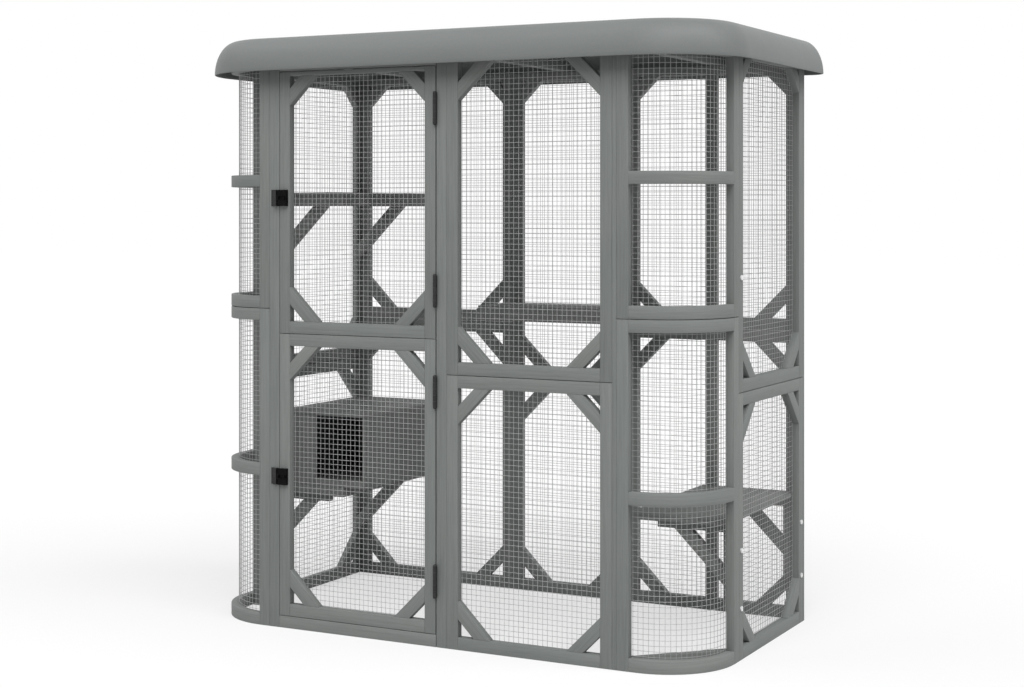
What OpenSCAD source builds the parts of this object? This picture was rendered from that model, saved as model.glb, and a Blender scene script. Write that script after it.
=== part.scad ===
// Outdoor cat enclosure: framed wire walls with two rounded front corners, two doors one above the
// other, shelves on brackets, a nest box and a moulded roof.
// Millimetres, +Z up. The origin is on the floor, under the middle of the roof. The doors face -Y.

/* [Overall] */
// Depth from the front faces to the back faces of the frames
frame_d = 706; // [690:1:800]
// Height of the frames under the roof
frame_h = 1434; // [1425:1:1500]

/* [Timber] */
// Face width of stiles and rails
stile_w = 30; // [26:1:34]
// Thickness of stiles, rails and boards
board_t = 20; // [18:1:22]
// Face width of the corner braces
brace_w = 30; // [20:1:34]
// Reach of a corner brace along its stile and its rail, to its inner edge
brace_leg = 86; // [75:1:95]
// Height of the top rails of the side and back walls
wall_top_rail = 21; // [16:1:28]
// Reach of the corner braces under those top rails
wall_top_leg = 60; // [50:1:80]
// Height of the top rails of the fixed front frame and the rounded corners
front_top_rail = 24; // [20:1:28]
// Depth of the posts beside the doors
post_d = 30; // [24:1:34]
// Gap left at a butt joint between two pieces of timber
fit = 0.3; // [0.2:0.1:0.5]

/* [Front wall] */
// Width of the posts beside the doors
post_w = 30; // [24:1:34]
// Width of the doorway between the posts
door_w = 456; // [430:1:470]
// Width of the fixed frame beside the doors
main_w = 435; // [420:1:450]
// Width of the narrow post between the fixed frame and the right rounded corner
narrow_post_w = 11; // [8:1:14]
// Straight run of the right curved rails at the front, between their stile and their bend
front_run = 16; // [8:1:30]
// Height of the sill under the lower door
sill_h = 30; // [26:1:34]
// Height of the line between the two doors
door_seam_z = 743; // [720:1:760]
// Height of the line between the two fixed front frames
main_seam_z = 658; // [640:1:680]
// Running gap round each door
door_gap = 1.5; // [1:0.5:3]
// Distance of the top edge of the upper door below the top of the frames
door_top_drop = 32; // [31:1:45]
// Height of the top rail of the upper door
door_top_rail = 10; // [8:1:20]

/* [Side walls] */
// Height of the line between the upper and lower side frames
side_seam_z = 626; // [600:1:650]
// Depth of the filler post at the back end of the right side wall
filler_d = 13; // [10:1:16]

/* [Rounded corners] */
// Outside radius of the rounded corners
corner_r = 175; // [165:1:180]
// Depth of a curved rail
curved_rail_t = 22; // [20:1:24]
// Height of the underside of the lower curved rail
low_rail_z = 380; // [360:1:400]
// Height of the line between the upper and lower curved frames
corner_seam_z = 805; // [790:1:820]
// Height of the underside of the upper curved rail
high_rail_z = 1114; // [1095:1:1130]
// Straight run of the left curved rails behind their bend, where they lap the side stile
lap_run = 10; // [6:1:14]
// Thickness of the bar that ties the right corner at the floor
tie_t = 20; // [14:1:24]

/* [Back wall] */
// Width of the left back frames
back_left_w = 500; // [480:1:510]
// Width of the middle back frames
back_middle_w = 350; // [330:1:360]
// Height of the line between the upper and lower frames, left and right
back_seam_z = 742; // [725:1:755]
// Height of the line between the upper and lower middle frames
back_middle_seam_z = 587; // [570:1:610]
// Distance from the left edge of the right back frames to their extra upright
mullion_x = 225; // [210:1:240]

/* [Wire] */
// Spacing of the wires, four times that of the real welded mesh
net_pitch = 51; // [48:1:60]
// Thickness of a wire, square
wire = 1.5; // [1.2:0.1:1.8]
// Gap between the upright wires and the level wires
wire_gap = 0.1; // [0.1:0.05:0.3]
// Distance of the nets from the inner faces of the frames
net_recess = 1; // [0.5:0.5:3]

/* [Roof] */
// Overhang of the roof past the frames
overhang = 43; // [30:1:50]
// Distance of the lower edge of the roof below the top of the frames
roof_edge_drop = 29; // [20:1:30]
// Height of the roof from its lower edge to its top
roof_h = 87; // [80:1:110]
// Width of the rounded shoulder of the roof
shoulder_w = 57; // [40:1:80]
// Thickness of the roof skin
roof_wall = 3; // [2.5:0.5:4]
// Corner radius of the roof at the back
roof_back_r = 45; // [30:1:60]
// Width of the roof joists
joist_w = 30; // [24:1:34]
// Height of the ends of the roof joists
joist_end_h = 20; // [15:1:24]

/* [Shelves] */
// Distance from the front faces to the front edges of the left shelves
shelf_front = 250; // [245:1:280]
// Thickness of the shelf boards
deck_t = 10; // [8:1:14]
// Height of the rails and arms under the upper left shelf
shelf_rail_h = 26; // [16:1:30]
// Height of the top of the upper left shelf
upper_shelf_z = 1101; // [1080:1:1110]
// Width of the upper left shelf and of the nest platform
left_shelf_w = 225; // [210:1:240]
// Height of the top of the nest platform
nest_platform_z = 320; // [300:1:340]
// Thickness of the nest platform
platform_t = 25; // [20:1:30]
// Distance from the front faces to the front edge of the right platform
right_platform_front = 215; // [206:1:250]
// Height of the rails under the right platform
platform_rail_h = 10; // [8:1:16]
// Height of the top of the right platform
right_platform_z = 330; // [310:1:340]
// Width of the right platform
right_platform_w = 258; // [245:1:262]
// Height of the top of the back shelf
back_shelf_z = 798; // [790:1:810]
// Height of the edge of the back shelf
back_shelf_h = 40; // [36:1:44]
// Depth of the back shelf
back_shelf_d = 200; // [160:1:220]

/* [Brackets] */
// Reach of a brace under the upper left shelf
upper_bracket_leg = 156; // [140:1:175]
// Height of the bracket arms under the nest platform
nest_arm_h = 18; // [14:1:24]
// Reach of the bracket arms under the nest platform
nest_arm_reach = 166; // [155:1:200]
// Reach of the front brace under the nest platform
nest_front_leg = 125; // [110:1:150]
// Reach of the rear brace under the nest platform
nest_rear_leg = 154; // [130:1:165]
// Height of the bracket arms under the right platform
platform_arm_h = 27; // [18:1:32]
// Reach of the bracket arms under the right platform
platform_arm_reach = 198; // [180:1:220]
// Thickness of the bracket uprights under the right platform
upright_t = 30; // [24:1:34]
// Height of the bracket uprights under the right platform
upright_h = 183; // [160:1:200]
// Reach of a brace under the right platform, from its upright
platform_leg = 124; // [110:1:150]

/* [Nest box] */
// Width of the nest box
nest_w = 291; // [270:1:300]
// Height of the nest box walls over the platform
nest_h = 187; // [170:1:200]
// Thickness of the nest box walls
nest_wall = 9; // [6:1:12]
// Thickness of the nest box lid
nest_lid_t = 6; // [5:1:9]
// Width of the entrance
entrance_w = 146; // [130:1:160]
// Height of the sill under the entrance
entrance_sill = 20; // [15:1:30]

/* [Hinges] */
// Height of a hinge
hinge_h = 75; // [60:1:90]
// Outer radius of the hinge knuckles
knuckle_r = 5; // [4.5:0.25:5.5]
// Radius of the hinge pins
pin_r = 2.5; // [2:0.25:3]
// Radial play of a hinge pin in its knuckles
pin_play = 0.05; // [0.03:0.01:0.08]
// Thickness of a hinge leaf
leaf_t = 1.1; // [0.8:0.1:1.2]
// Depth of a hinge leaf in the seam
leaf_d = 16; // [12:1:18]
// Gap between the door and the post on the hinge side
hinge_gap = 3.2; // [3.2:0.1:4]
// Gap between the knuckles of a hinge
knuckle_gap = 0.3; // [0.2:0.1:0.5]
// Gap between a hinge leaf and the timber beside it
leaf_gap = 0.05; // [0.05:0.05:0.3]
// Distance of the lower door's bottom hinge, at its middle, above the sill
hinge_1_rise = 129; // [90:1:220]
// Distance of the lower door's top hinge, at its middle, below the line between the doors
hinge_2_drop = 127; // [80:1:220]
// Distance of the upper door's bottom hinge, at its middle, above the line between the doors
hinge_3_rise = 117; // [80:1:200]
// Distance of the upper door's top hinge, at its middle, below the top edge of that door
hinge_4_drop = 102; // [70:1:200]

/* [Latches] */
// Height of a latch
latch_h = 41; // [36:1:46]
// Distance of the middle of the upper latch above the line between the doors
upper_latch_rise = 342; // [300:1:360]
// Distance of the middle of the lower latch above the sill
lower_latch_rise = 352; // [320:1:370]
// Width of the latch case on the door
latch_case_w = 25; // [24:1:27]
// Depth of the latch case
latch_case_d = 10; // [9:0.5:12]
// Width of the keeper plate on the post
keeper_w = 22; // [20:1:24]
// Thickness of the keeper plate
keeper_t = 2.5; // [2:0.5:3]
// Distance of the keeper plate from the edge of the post
keeper_inset = 1; // [0.5:0.5:2]
// Width of the raised staple of the keeper
staple_w = 8; // [6:1:9]
// Distance of the staple from the door side of the keeper plate
staple_inset = 3; // [2:0.5:4]
// Height of the sliding tongue
tongue_h = 12; // [10:1:14]
// Thickness of the sliding tongue
tongue_t = 4; // [3:0.5:5]
// Travel of the sliding tongue
latch_travel = 14; // [12:1:15]
// Length of the tongue outside its case when it is drawn back
tongue_out = 1; // [0.5:0.5:2]
// Width of the thumb knob on the tongue
knob_w = 6; // [5:0.5:7]
// Distance that the thumb knob stands out in front of the case
knob_out = 3; // [2:0.5:5]
// Distance of the knob from the upper and lower edges of the tongue
knob_inset = 3; // [2:0.5:4]
// Height of the rim above and below the window for the knob
window_rim = 2; // [1:0.5:2.5]
// Play of the tongue in its slots
latch_play = 0.3; // [0.2:0.1:0.4]

/* [Bolts] */
// Radius of a bolt shank
bolt_r = 3; // [2.5:0.5:4]
// Radius of a bolt head
bolt_head_r = 6; // [5:0.5:7]
// Thickness of a bolt head
bolt_head_t = 3; // [2:0.5:4]
// Radial play of a bolt in its hole
bolt_play = 0.1; // [0.05:0.05:0.3]
// Height of the lowest bolts in the right side wall
bolt_1_z = 121; // [60:1:180]
// Height of the next bolts in the right side wall
bolt_2_z = 257; // [200:1:320]
// Height of the upper bolt in the right side wall
bolt_3_z = 896; // [820:1:980]

/* [Hidden] */
$fn = 48;
bend_fn = 96;
cut = 1;
brace_tip = 1;
tight_r = 8;
leaf_inset = 1;
knuckle_count = 5;
stain = [0.47, 0.48, 0.475];
dark_stain = [0.4, 0.41, 0.4];
zinc = [0.68, 0.69, 0.69];
black = [0.12, 0.12, 0.125];
roof_grey = [0.51, 0.525, 0.52];
frame_w = 2 * corner_r + 2 * stile_w + 2 * post_w + door_w + main_w + narrow_post_w + front_run;
front_y = -frame_d / 2;
back_y = frame_d / 2;
right_x = frame_w / 2;
left_x = -frame_w / 2 + curved_rail_t;
left_in = left_x + board_t;
right_in = right_x - board_t;
inner_back_y = back_y - board_t;
corner_y = front_y + corner_r;
left_corner_x = -frame_w / 2 + corner_r;
right_corner_x = right_x - corner_r;
door_left_x = left_corner_x + stile_w + post_w;
hinge_x = door_left_x + door_w;
main_x = hinge_x + post_w;
narrow_x = main_x + main_w;
right_stile_x = narrow_x + narrow_post_w;
door_right_x = hinge_x - hinge_gap / 2;
door_leaf_x = door_left_x + door_gap;
door_leaf_w = door_right_x - door_leaf_x;
side_end_y = inner_back_y - filler_d;
left_side_y = corner_y + lap_run + stile_w;
right_side_y = corner_y + stile_w;
left_side_w = back_y - left_side_y;
right_side_w = side_end_y - right_side_y;
back_split_1 = left_in + back_left_w;
back_split_2 = back_split_1 + back_middle_w;
back_right_w = right_in - back_split_2;
diagonal = sqrt(2);
net_y = board_t - 2 * wire - wire_gap - net_recess;
net_clear = fit + wire;
net_r = corner_r - curved_rail_t + fit + 2 * wire + wire_gap;
hinge_y = front_y - knuckle_r;
shelf_y = front_y + shelf_front;
shelf_d = inner_back_y - fit - shelf_y;
platform_y = front_y + right_platform_front;
platform_d = inner_back_y - fit - platform_y;
front_arm_y = shelf_y + board_t + 2 * fit;
platform_arm_y = platform_y + board_t + 2 * fit;
rear_arm_y = inner_back_y - board_t - fit;
nest_x = left_in + fit;
nest_top_z = nest_platform_z + nest_h;
latch_slot_y = (latch_case_d - tongue_t) / 2;
window_w = latch_travel + knob_w + 2 * latch_play;
door_top_z = frame_h - door_top_drop;
roof_edge_z = frame_h - roof_edge_drop;
roof_top_z = roof_edge_z + roof_h;
upper_hinge_z = [door_seam_z + hinge_3_rise, door_top_z - hinge_4_drop];
lower_hinge_z = [sill_h + hinge_1_rise, door_seam_z - hinge_2_drop];
upper_latch_z = door_seam_z + upper_latch_rise;
lower_latch_z = sill_h + lower_latch_rise;
lower_bolt_z = [bolt_1_z, bolt_2_z];
upper_bolt_z = [bolt_3_z];
upper_door_z = door_seam_z + door_gap / 2;
door_top_leg = stile_w + brace_leg - door_top_drop - door_top_rail;
front_top_leg = stile_w + brace_leg - front_top_rail;

// Depth that a corner brace of a given leg takes from a wire at distance d along a given span
function corner_cut(d, span, leg) = max(0, leg - d, leg - (span - d));

// Positions that divide a span evenly, close to the wire pitch
function pitch_steps(span) =
    let (n = max(1, round(span / net_pitch) - 1)) [for (i = [1:n]) i * span / (n + 1)];

// A board in the local frame: face along X and Z, thickness along Y from the outer face at 0
module board(x, z, w, h, t = board_t) {
    translate([x, 0, z]) cube([w, t, h]);
}

// One 45 degree brace in the inner corner at (x, z), leaning towards (sx, sz)
module brace(x, z, sx, sz, leg) {
    cx = x + sx * fit;
    cz = z + sz * fit;
    far = leg - fit;
    near = max(brace_tip, far - brace_w * diagonal);
    translate([0, board_t, 0]) rotate([90, 0, 0]) linear_extrude(board_t)
        polygon([[cx + sx * far, cz], [cx, cz + sz * far], [cx, cz + sz * near], [cx + sx * near, cz]]);
}

// Holes for bolts through the boards of a local frame
module bolt_holes(x, heights) {
    for (z = heights) translate([x, -cut, z]) rotate([-90, 0, 0])
        cylinder(r = bolt_r + bolt_play, h = board_t + 2 * cut);
}

// A wall frame in the local frame: two stiles, two rails and four braces as separate boards
module panel_frame(w, z0, z1, top_rail = stile_w, top_leg = brace_leg, left_bolts = [], right_bolts = []) {
    difference() {
        board(0, z0, stile_w, z1 - z0);
        bolt_holes(stile_w / 2, left_bolts);
    }
    difference() {
        board(w - stile_w, z0, stile_w, z1 - z0);
        bolt_holes(w - stile_w / 2, right_bolts);
    }
    board(stile_w + fit, z0, w - 2 * stile_w - 2 * fit, stile_w);
    board(stile_w + fit, z1 - top_rail, w - 2 * stile_w - 2 * fit, top_rail);
    brace(stile_w, z0 + stile_w, 1, 1, brace_leg);
    brace(w - stile_w, z0 + stile_w, -1, 1, brace_leg);
    brace(stile_w, z1 - top_rail, 1, -1, top_leg);
    brace(w - stile_w, z1 - top_rail, -1, -1, top_leg);
}

// The wires of a wall frame in the local frame, cut off at the braces
module panel_net(w, z0, z1, top_rail = stile_w, top_leg = brace_leg) {
    span = w - 2 * stile_w;
    rise = z1 - z0 - stile_w - top_rail;
    base = z0 + stile_w;
    for (d = pitch_steps(span)) {
        low = corner_cut(d, span, brace_leg) + net_clear;
        high = corner_cut(d, span, top_leg) + net_clear;
        translate([stile_w + d - wire / 2, net_y, base + low]) cube([wire, wire, rise - low - high]);
    }
    for (d = pitch_steps(rise)) {
        cut = max(0, brace_leg - d, top_leg - (rise - d)) + net_clear;
        translate([stile_w + cut, net_y + wire + wire_gap, base + d - wire / 2])
            cube([span - 2 * cut, wire, wire]);
    }
}

// The upper frame of a side or back wall, with its low top rail and short braces
module wall_upper_frame(w, z0, left_bolts = []) {
    panel_frame(w, z0, frame_h, wall_top_rail, wall_top_leg, left_bolts);
}

module wall_upper_net(w, z0) {
    panel_net(w, z0, frame_h, wall_top_rail, wall_top_leg);
}

// Placing a local frame on a wall: the outer face looks away from the middle
module on_front(x) {
    translate([x, front_y, 0]) children();
}

module on_right() {
    translate([right_x, right_side_y, 0]) rotate([0, 0, 90]) children();
}

module on_left() {
    translate([left_x, back_y, 0]) rotate([0, 0, -90]) children();
}

module on_back(x_right) {
    translate([x_right, back_y, 0]) rotate([0, 0, 180]) children();
}

// A quarter turn of a bar, from the front to the right, about the corner's own upright axis
module quarter(r_in, r_out, z, h) {
    rotate([0, 0, -90]) rotate_extrude(angle = 90, $fn = bend_fn)
        translate([r_in, z]) square([r_out - r_in, h]);
}

// A curved rail: the bend with its straight run at the front and at the side
module curved_rail(z, h, front, side) {
    r_in = corner_r - curved_rail_t;
    union() {
        quarter(r_in, corner_r, z, h);
        if (front > 0) translate([-front, -corner_r, z]) cube([front, curved_rail_t, h]);
        if (side > 0) translate([r_in, 0, z]) cube([curved_rail_t, side, h]);
    }
}

// A corner frame about the corner's own axis. The side stile is flush with the rails, or lapped by them
module corner_frame(z0, z1, mid_z, front, side, lapped, top_rail = stile_w) {
    stile_x = corner_r - board_t - (lapped ? curved_rail_t + fit : 0);
    gap = lapped ? 0 : fit;
    translate([-front - stile_w, -corner_r, z0]) cube([stile_w - fit, board_t, z1 - z0]);
    translate([stile_x, side + gap, z0]) cube([board_t, stile_w - gap, z1 - z0]);
    reach = lapped ? side + stile_w : side;
    for (z = [z0, mid_z]) curved_rail(z, stile_w, front, reach);
    curved_rail(z1 - top_rail, top_rail, front, reach);
}

// The wires of one bay of a corner, about the corner's own axis
module corner_bay(z0, z1, front, side) {
    r_level = net_r - wire - wire_gap;
    turns = round(PI / 2 * net_r / net_pitch);
    for (i = [0:turns]) rotate([0, 0, 90 * i / turns - 90])
        translate([net_r - wire, i == 0 ? 0 : i == turns ? -wire : -wire / 2, z0 + fit])
        cube([wire, wire, z1 - z0 - 2 * fit]);
    for (d = pitch_steps(z1 - z0)) translate([0, 0, z0 + d - wire / 2]) {
        union() {
            quarter(r_level - wire, r_level, 0, wire);
            if (front > fit) translate([fit - front, -r_level, 0]) cube([front - fit, wire, wire]);
            if (side > fit) translate([r_level - wire, 0, 0]) cube([wire, side - fit, wire]);
        }
    }
}

// The two bays of a corner frame, below and above its middle rail
module corner_net(z0, z1, mid_z, front, side, top_rail = stile_w) {
    corner_bay(z0 + stile_w, mid_z, front, side);
    corner_bay(mid_z + stile_w, z1 - top_rail, front, side);
}

module right_corner() {
    translate([right_corner_x, corner_y, 0]) children();
}

module left_corner() {
    translate([left_corner_x, corner_y, 0]) mirror([1, 0, 0]) children();
}

// Outline of the roof, drawn in by a given amount
function roof_outline(inset) =
    let (hw = frame_w / 2 + overhang - inset, hd = frame_d / 2 + overhang - inset,
        rf = corner_r + overhang - inset, rb = max(tight_r, roof_back_r - inset))
    concat(
        [for (a = [180:10:270]) [-hw + rf + rf * cos(a), -hd + rf + rf * sin(a)]],
        [for (a = [270:10:360]) [hw - rf + rf * cos(a), -hd + rf + rf * sin(a)]],
        [for (a = [0:30:90]) [hw - rb + rb * cos(a), hd - rb + rb * sin(a)]],
        [for (a = [90:30:180]) [-hw + rb + rb * cos(a), hd - rb + rb * sin(a)]]);

// One ring of the roof: a skin's depth inside the outer form, at an angle up the rounded shoulder
function roof_ring(skin, a) =
    [for (p = roof_outline(skin + (shoulder_w - skin) * (1 - cos(a))))
        [p[0], p[1], roof_edge_z + (roof_h - skin) * sin(a)]];

// One skin, from the middle of the top down the outside and up again on the inside
module roof() {
    rings = concat([for (a = [90:-10:0]) roof_ring(0, a)], [for (a = [0:10:90]) roof_ring(roof_wall, a)]);
    n = len(rings[0]);
    last = len(rings) - 1;
    sides = [for (k = [0:last - 1], i = [0:n - 1], t = [0, 1])
        let (j = (i + 1) % n, up = k * n, down = (k + 1) * n)
        t == 0 ? [up + i, up + j, down + j] : [up + i, down + j, down + i]];
    color(roof_grey) polyhedron([for (ring = rings, p = ring) p], concat(
        [[for (i = [n - 1:-1:0]) i]], sides, [[for (i = [0:n - 1]) last * n + i]]));
}

// Joists across the frames, under the roof skin
module roof_joists() {
    low = frame_h + fit;
    high = roof_top_z - roof_wall - fit;
    color(stain) for (x = [door_left_x - post_w, hinge_x, right_stile_x - joist_w])
        translate([x + joist_w, 0, 0]) rotate([90, 0, -90]) linear_extrude(joist_w) polygon([
            [front_y, low], [back_y, low], [back_y, low + joist_end_h], [back_y - shoulder_w, high],
            [front_y + shoulder_w, high], [front_y, low + joist_end_h]]);
}

module door_header() {
    header_z = door_top_z + 2 * door_gap;
    color(stain) translate([door_left_x + fit, front_y, header_z])
        cube([door_w - 2 * fit, board_t, frame_h - header_z]);
}

module door_sill() {
    color(stain) translate([door_left_x + fit, front_y, 0]) cube([door_w - 2 * fit, board_t, sill_h]);
}

module front_left_post() {
    color(stain) translate([door_left_x - post_w + fit, front_y, 0]) cube([post_w - fit, post_d, frame_h]);
}

module front_middle_post() {
    x0 = hinge_x + hinge_gap / 2;
    color(stain) translate([x0, front_y, 0]) cube([main_x - fit - x0, post_d, frame_h]);
}

module front_narrow_post() {
    color(stain) translate([narrow_x + fit, front_y, 0]) cube([narrow_post_w - 2 * fit, board_t, frame_h]);
}

module back_right_filler() {
    color(stain) translate([right_in, side_end_y + fit, 0]) cube([board_t, filler_d - 2 * fit, frame_h]);
}

module main_upper_frame() {
    color(stain) on_front(main_x)
        panel_frame(main_w, main_seam_z + fit, frame_h, front_top_rail, front_top_leg);
}

module main_lower_frame() {
    color(stain) on_front(main_x) panel_frame(main_w, 0, main_seam_z);
}

module main_upper_mesh() {
    color(zinc) on_front(main_x) panel_net(main_w, main_seam_z + fit, frame_h, front_top_rail, front_top_leg);
}

module main_lower_mesh() {
    color(zinc) on_front(main_x) panel_net(main_w, 0, main_seam_z);
}

module left_corner_upper_frame() {
    color(stain) left_corner()
        corner_frame(corner_seam_z + fit, frame_h, high_rail_z, 0, lap_run, true, front_top_rail);
}

module left_corner_lower_frame() {
    color(stain) left_corner() corner_frame(0, corner_seam_z, low_rail_z, 0, lap_run, true);
}

module left_corner_upper_mesh() {
    color(zinc) left_corner()
        corner_net(corner_seam_z + fit, frame_h, high_rail_z, 0, lap_run + stile_w, front_top_rail);
}

module left_corner_lower_mesh() {
    color(zinc) left_corner() corner_net(0, corner_seam_z, low_rail_z, 0, lap_run + stile_w);
}

module right_corner_upper_frame() {
    color(stain) right_corner()
        corner_frame(corner_seam_z + fit, frame_h, high_rail_z, front_run, 0, false, front_top_rail);
}

module right_corner_lower_frame() {
    color(stain) right_corner() corner_frame(0, corner_seam_z, low_rail_z, front_run, 0, false);
}

module right_corner_upper_mesh() {
    color(zinc) right_corner()
        corner_net(corner_seam_z + fit, frame_h, high_rail_z, front_run, 0, front_top_rail);
}

module right_corner_lower_mesh() {
    color(zinc) right_corner() corner_net(0, corner_seam_z, low_rail_z, front_run, 0);
}

// Straight bar across the right corner at the floor, from stile to stile
module corner_tie_bar() {
    reach = corner_r - curved_rail_t - 2 * fit;
    band = tie_t * diagonal;
    color(stain) right_corner() linear_extrude(stile_w)
        polygon([[0, -reach], [reach, 0], [reach, band], [-band, -reach]]);
}

module left_side_upper_frame() {
    color(stain) on_left() wall_upper_frame(left_side_w, side_seam_z + fit);
}

module left_side_lower_frame() {
    color(stain) on_left() panel_frame(left_side_w, 0, side_seam_z);
}

module left_side_meshes() {
    color(zinc) on_left() {
        wall_upper_net(left_side_w, side_seam_z + fit);
        panel_net(left_side_w, 0, side_seam_z);
    }
}

module right_side_upper_frame() {
    color(stain) on_right() wall_upper_frame(right_side_w, side_seam_z + fit, upper_bolt_z);
}

module right_side_lower_frame() {
    color(stain) on_right() panel_frame(right_side_w, 0, side_seam_z, left_bolts = lower_bolt_z,
        right_bolts = lower_bolt_z);
}

module right_side_meshes() {
    color(zinc) on_right() {
        wall_upper_net(right_side_w, side_seam_z + fit);
        panel_net(right_side_w, 0, side_seam_z);
    }
}

module back_left_upper_frame() {
    color(stain) on_back(back_split_1 - fit) wall_upper_frame(back_left_w - fit, back_seam_z + fit);
}

module back_left_lower_frame() {
    color(stain) on_back(back_split_1 - fit) panel_frame(back_left_w - fit, 0, back_seam_z);
}

module back_left_meshes() {
    color(zinc) on_back(back_split_1 - fit) {
        wall_upper_net(back_left_w - fit, back_seam_z + fit);
        panel_net(back_left_w - fit, 0, back_seam_z);
    }
}

module back_middle_upper_frame() {
    color(stain) on_back(back_split_2 - fit) wall_upper_frame(back_middle_w - fit, back_middle_seam_z + fit);
}

module back_middle_lower_frame() {
    color(stain) on_back(back_split_2 - fit) panel_frame(back_middle_w - fit, 0, back_middle_seam_z);
}

module back_middle_meshes() {
    color(zinc) on_back(back_split_2 - fit) {
        wall_upper_net(back_middle_w - fit, back_middle_seam_z + fit);
        panel_net(back_middle_w - fit, 0, back_middle_seam_z);
    }
}

// The right back frames have one more upright, so their boards and wires are laid out here
module back_right_frame(z0, z1, top_rail = stile_w, top_leg = brace_leg) {
    w = back_right_w;
    rise = z1 - z0 - stile_w - top_rail;
    for (x = [0, w - stile_w]) board(x, z0, stile_w, z1 - z0);
    board(stile_w + fit, z0, w - 2 * stile_w - 2 * fit, stile_w);
    board(stile_w + fit, z1 - top_rail, w - 2 * stile_w - 2 * fit, top_rail);
    board(w - mullion_x - stile_w, z0 + stile_w + fit, stile_w, rise - 2 * fit);
    brace(stile_w, z0 + stile_w, 1, 1, brace_leg);
    brace(w - stile_w, z0 + stile_w, -1, 1, brace_leg);
    brace(stile_w, z1 - top_rail, 1, -1, top_leg);
    brace(w - stile_w, z1 - top_rail, -1, -1, top_leg);
}

// Wires on both sides of the extra upright
module back_right_net(z0, z1, top_rail = stile_w, top_leg = brace_leg) {
    mid = back_right_w - mullion_x - stile_w;
    rise = z1 - z0 - stile_w - top_rail;
    base = z0 + stile_w;
    for (side = [0, 1]) {
        x0 = side == 0 ? stile_w : mid + stile_w;
        span = side == 0 ? mid - stile_w : back_right_w - stile_w - x0;
        for (d = pitch_steps(span)) {
            edge = side == 0 ? d : span - d;
            low = max(0, brace_leg - edge) + net_clear;
            high = max(0, top_leg - edge) + net_clear;
            translate([x0 + d - wire / 2, net_y, base + low]) cube([wire, wire, rise - low - high]);
        }
        for (d = pitch_steps(rise)) {
            short = max(0, brace_leg - d, top_leg - (rise - d)) + net_clear;
            start = side == 0 ? short : fit;
            translate([x0 + start, net_y + wire + wire_gap, base + d - wire / 2])
                cube([span - short - fit, wire, wire]);
        }
    }
}

module back_right_upper_frame() {
    color(stain) on_back(right_in)
        back_right_frame(back_seam_z + fit, frame_h, wall_top_rail, wall_top_leg);
}

module back_right_lower_frame() {
    color(stain) on_back(right_in) back_right_frame(0, back_seam_z);
}

module back_right_meshes() {
    color(zinc) on_back(right_in) {
        back_right_net(back_seam_z + fit, frame_h, wall_top_rail, wall_top_leg);
        back_right_net(0, back_seam_z);
    }
}

// A shelf from a wall at x = 0, its top at 0: a board on rails along its front and its free side
module railed_shelf(w, d, rail_h) {
    under = -deck_t - rail_h;
    translate([fit, 0, -deck_t]) cube([w - fit, d, deck_t]);
    translate([fit, 0, under]) cube([w - fit, board_t, rail_h - fit]);
    translate([w - board_t, board_t + fit, under]) cube([board_t, d - board_t - fit, rail_h - fit]);
}

module upper_shelf() {
    color(dark_stain) translate([left_in, shelf_y, upper_shelf_z])
        railed_shelf(left_shelf_w, shelf_d, shelf_rail_h);
}

module nest_platform() {
    color(dark_stain) translate([left_in + fit, shelf_y, nest_platform_z - platform_t])
        cube([left_shelf_w - fit, shelf_d, platform_t]);
}

// A bracket in the X-Z plane on a wall at x = 0: an arm under the shelf and a 45 degree brace, which
// stands on the wall or on an upright of a given thickness and height
module bracket(top_z, arm_h, reach, leg, up_t = 0, up_h = 0) {
    arm_z = top_z - arm_h;
    board(fit, arm_z, reach - fit, arm_h - fit);
    if (up_t > 0) board(fit, arm_z - up_h, up_t - fit, up_h - fit);
    brace(up_t, arm_z, 1, -1, leg);
}

module left_shelf_brackets() {
    upper_reach = left_shelf_w - board_t - 2 * fit;
    color(stain) {
        for (y = [front_arm_y, rear_arm_y]) translate([left_in, y, 0])
            bracket(upper_shelf_z - deck_t, shelf_rail_h, upper_reach, upper_bracket_leg);
        translate([left_in, front_arm_y, 0])
            bracket(nest_platform_z - platform_t, nest_arm_h, nest_arm_reach, nest_front_leg);
        translate([left_in, rear_arm_y, 0])
            bracket(nest_platform_z - platform_t, nest_arm_h, nest_arm_reach, nest_rear_leg);
    }
}

// Nest box: floor, back, sides and front with its entrance at the right edge
module nest_box() {
    entrance_x = nest_w - nest_wall - entrance_w;
    color(dark_stain) translate([nest_x, shelf_y, nest_platform_z + fit]) difference() {
        cube([nest_w, shelf_d, nest_h - fit]);
        translate([nest_wall, nest_wall, nest_wall])
            cube([nest_w - 2 * nest_wall, shelf_d - 2 * nest_wall, nest_h]);
        translate([entrance_x, -cut, entrance_sill]) cube([entrance_w, nest_wall + 2 * cut, nest_h]);
    }
}

module nest_lid() {
    color(dark_stain) translate([nest_x, shelf_y, nest_top_z + fit]) cube([nest_w, shelf_d, nest_lid_t]);
}

module right_platform() {
    color(dark_stain) translate([right_in, platform_y, right_platform_z]) mirror([1, 0, 0])
        railed_shelf(right_platform_w, platform_d, platform_rail_h);
}

module right_platform_brackets() {
    color(stain) for (y = [platform_arm_y, rear_arm_y]) translate([right_in, y, 0]) mirror([1, 0, 0])
        bracket(right_platform_z - deck_t, platform_arm_h, platform_arm_reach, platform_leg, upright_t,
            upright_h);
}

// Back shelf from the left edge of the middle frames to the extra upright
module back_shelf() {
    x0 = back_split_1;
    x1 = back_split_2 + mullion_x;
    color(dark_stain) translate([x0, inner_back_y - fit - back_shelf_d, back_shelf_z - back_shelf_h])
        cube([x1 - x0, back_shelf_d, back_shelf_h]);
}

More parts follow.
